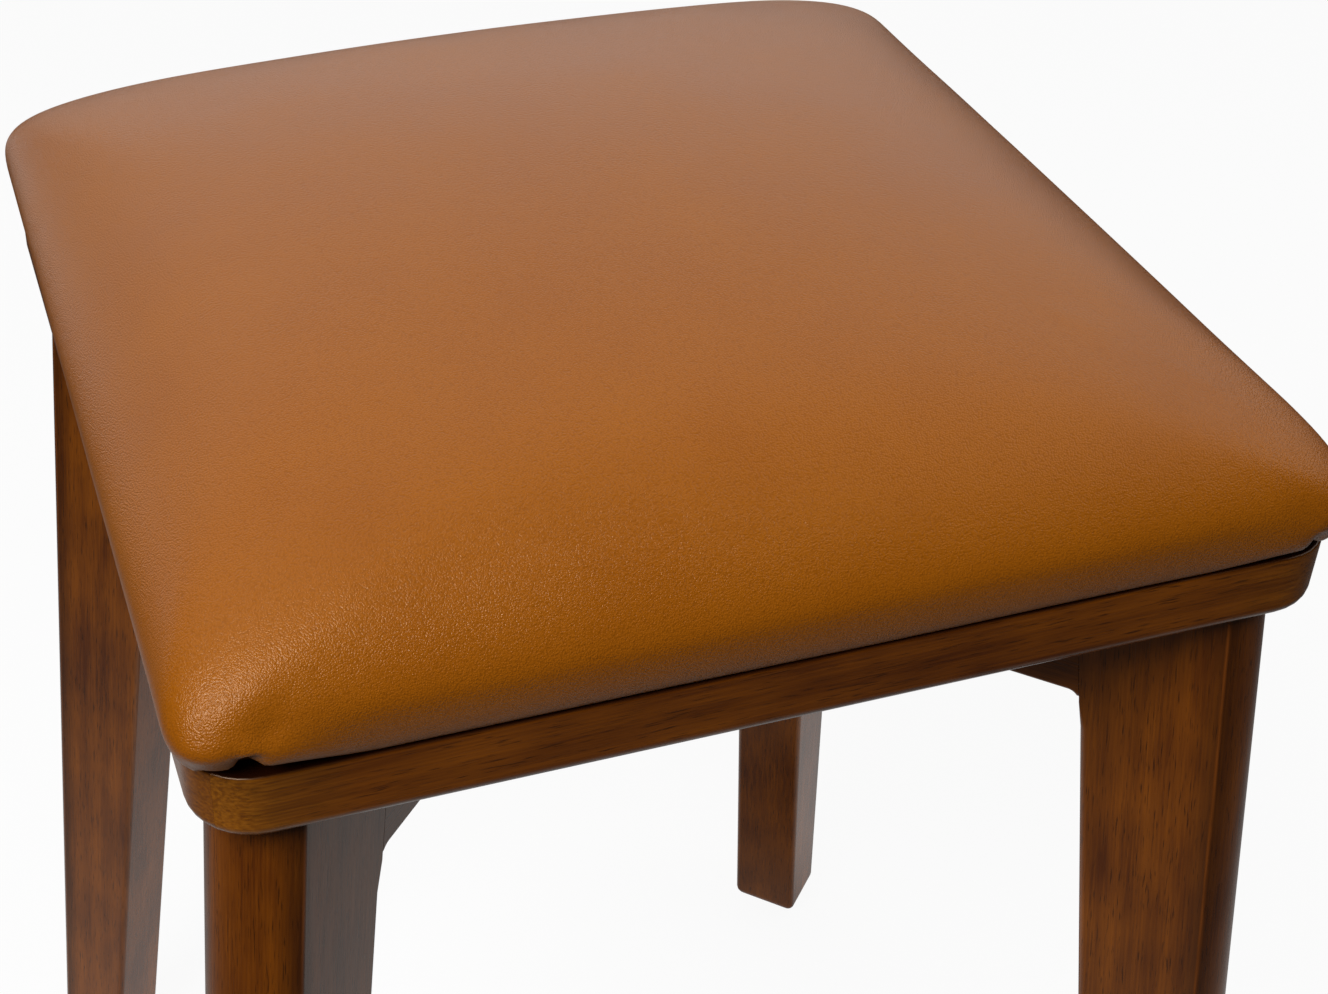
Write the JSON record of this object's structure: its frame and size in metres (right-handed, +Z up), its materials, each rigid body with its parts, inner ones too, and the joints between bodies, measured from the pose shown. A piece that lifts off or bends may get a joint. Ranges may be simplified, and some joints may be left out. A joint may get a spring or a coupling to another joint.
{
  "type": "upholstered stool",
  "caption": "Square stool with a crowned tan leather cushion on a mitred frame, and splayed stained wooden legs standing on the diagonals with crossing braces.",
  "frame": {"origin": "on the floor, below the middle of the seat", "axes": "+Z up, -Y towards the front of the seat, +X to the right seen from the front"},
  "size_m": [0.337, 0.337, 0.4702],
  "materials": {
    "stained_wood": "dark walnut-brown stain under semi-gloss lacquer",
    "beech_dowel": "bare beech",
    "plywood": "bare plywood",
    "tan_leather": "smooth tan leather with a fine pebble grain and a soft sheen",
    "foam": "polyurethane foam",
    "zinc_steel": "zinc-plated steel"
  },
  "bodies": {
    "root": {"leg_front_left": "stained_wood", "leg_front_right": "stained_wood", "leg_rear_right": "stained_wood", "leg_rear_left": "stained_wood", "cross_brace_lap_over": "stained_wood", "cross_brace_lap_under": "stained_wood", "seat_rail_front": "stained_wood", "seat_rail_right": "stained_wood", "seat_rail_rear": "stained_wood", "seat_rail_left": "stained_wood", "mitre_spline_front_left": "beech_dowel", "mitre_spline_front_right": "beech_dowel", "mitre_spline_rear_right": "beech_dowel", "mitre_spline_rear_left": "beech_dowel", "leg_dowel_front_left_a": "beech_dowel", "leg_dowel_front_left_b": "beech_dowel", "leg_dowel_front_right_a": "beech_dowel", "leg_dowel_front_right_b": "beech_dowel", "leg_dowel_rear_right_a": "beech_dowel", "leg_dowel_rear_right_b": "beech_dowel", "leg_dowel_rear_left_a": "beech_dowel", "leg_dowel_rear_left_b": "beech_dowel", "brace_dowel_front_left_upper": "beech_dowel", "brace_dowel_front_left_lower": "beech_dowel", "brace_dowel_front_right_upper": "beech_dowel", "brace_dowel_front_right_lower": "beech_dowel", "brace_dowel_rear_right_upper": "beech_dowel", "brace_dowel_rear_right_lower": "beech_dowel", "brace_dowel_rear_left_upper": "beech_dowel", "brace_dowel_rear_left_lower": "beech_dowel", "seat_board": "plywood", "foam_pad": "foam", "leather_cover": "tan_leather", "seat_screw_front": "zinc_steel", "seat_screw_right": "zinc_steel", "seat_screw_rear": "zinc_steel", "seat_screw_left": "zinc_steel"}
  },
  "joints": []
}
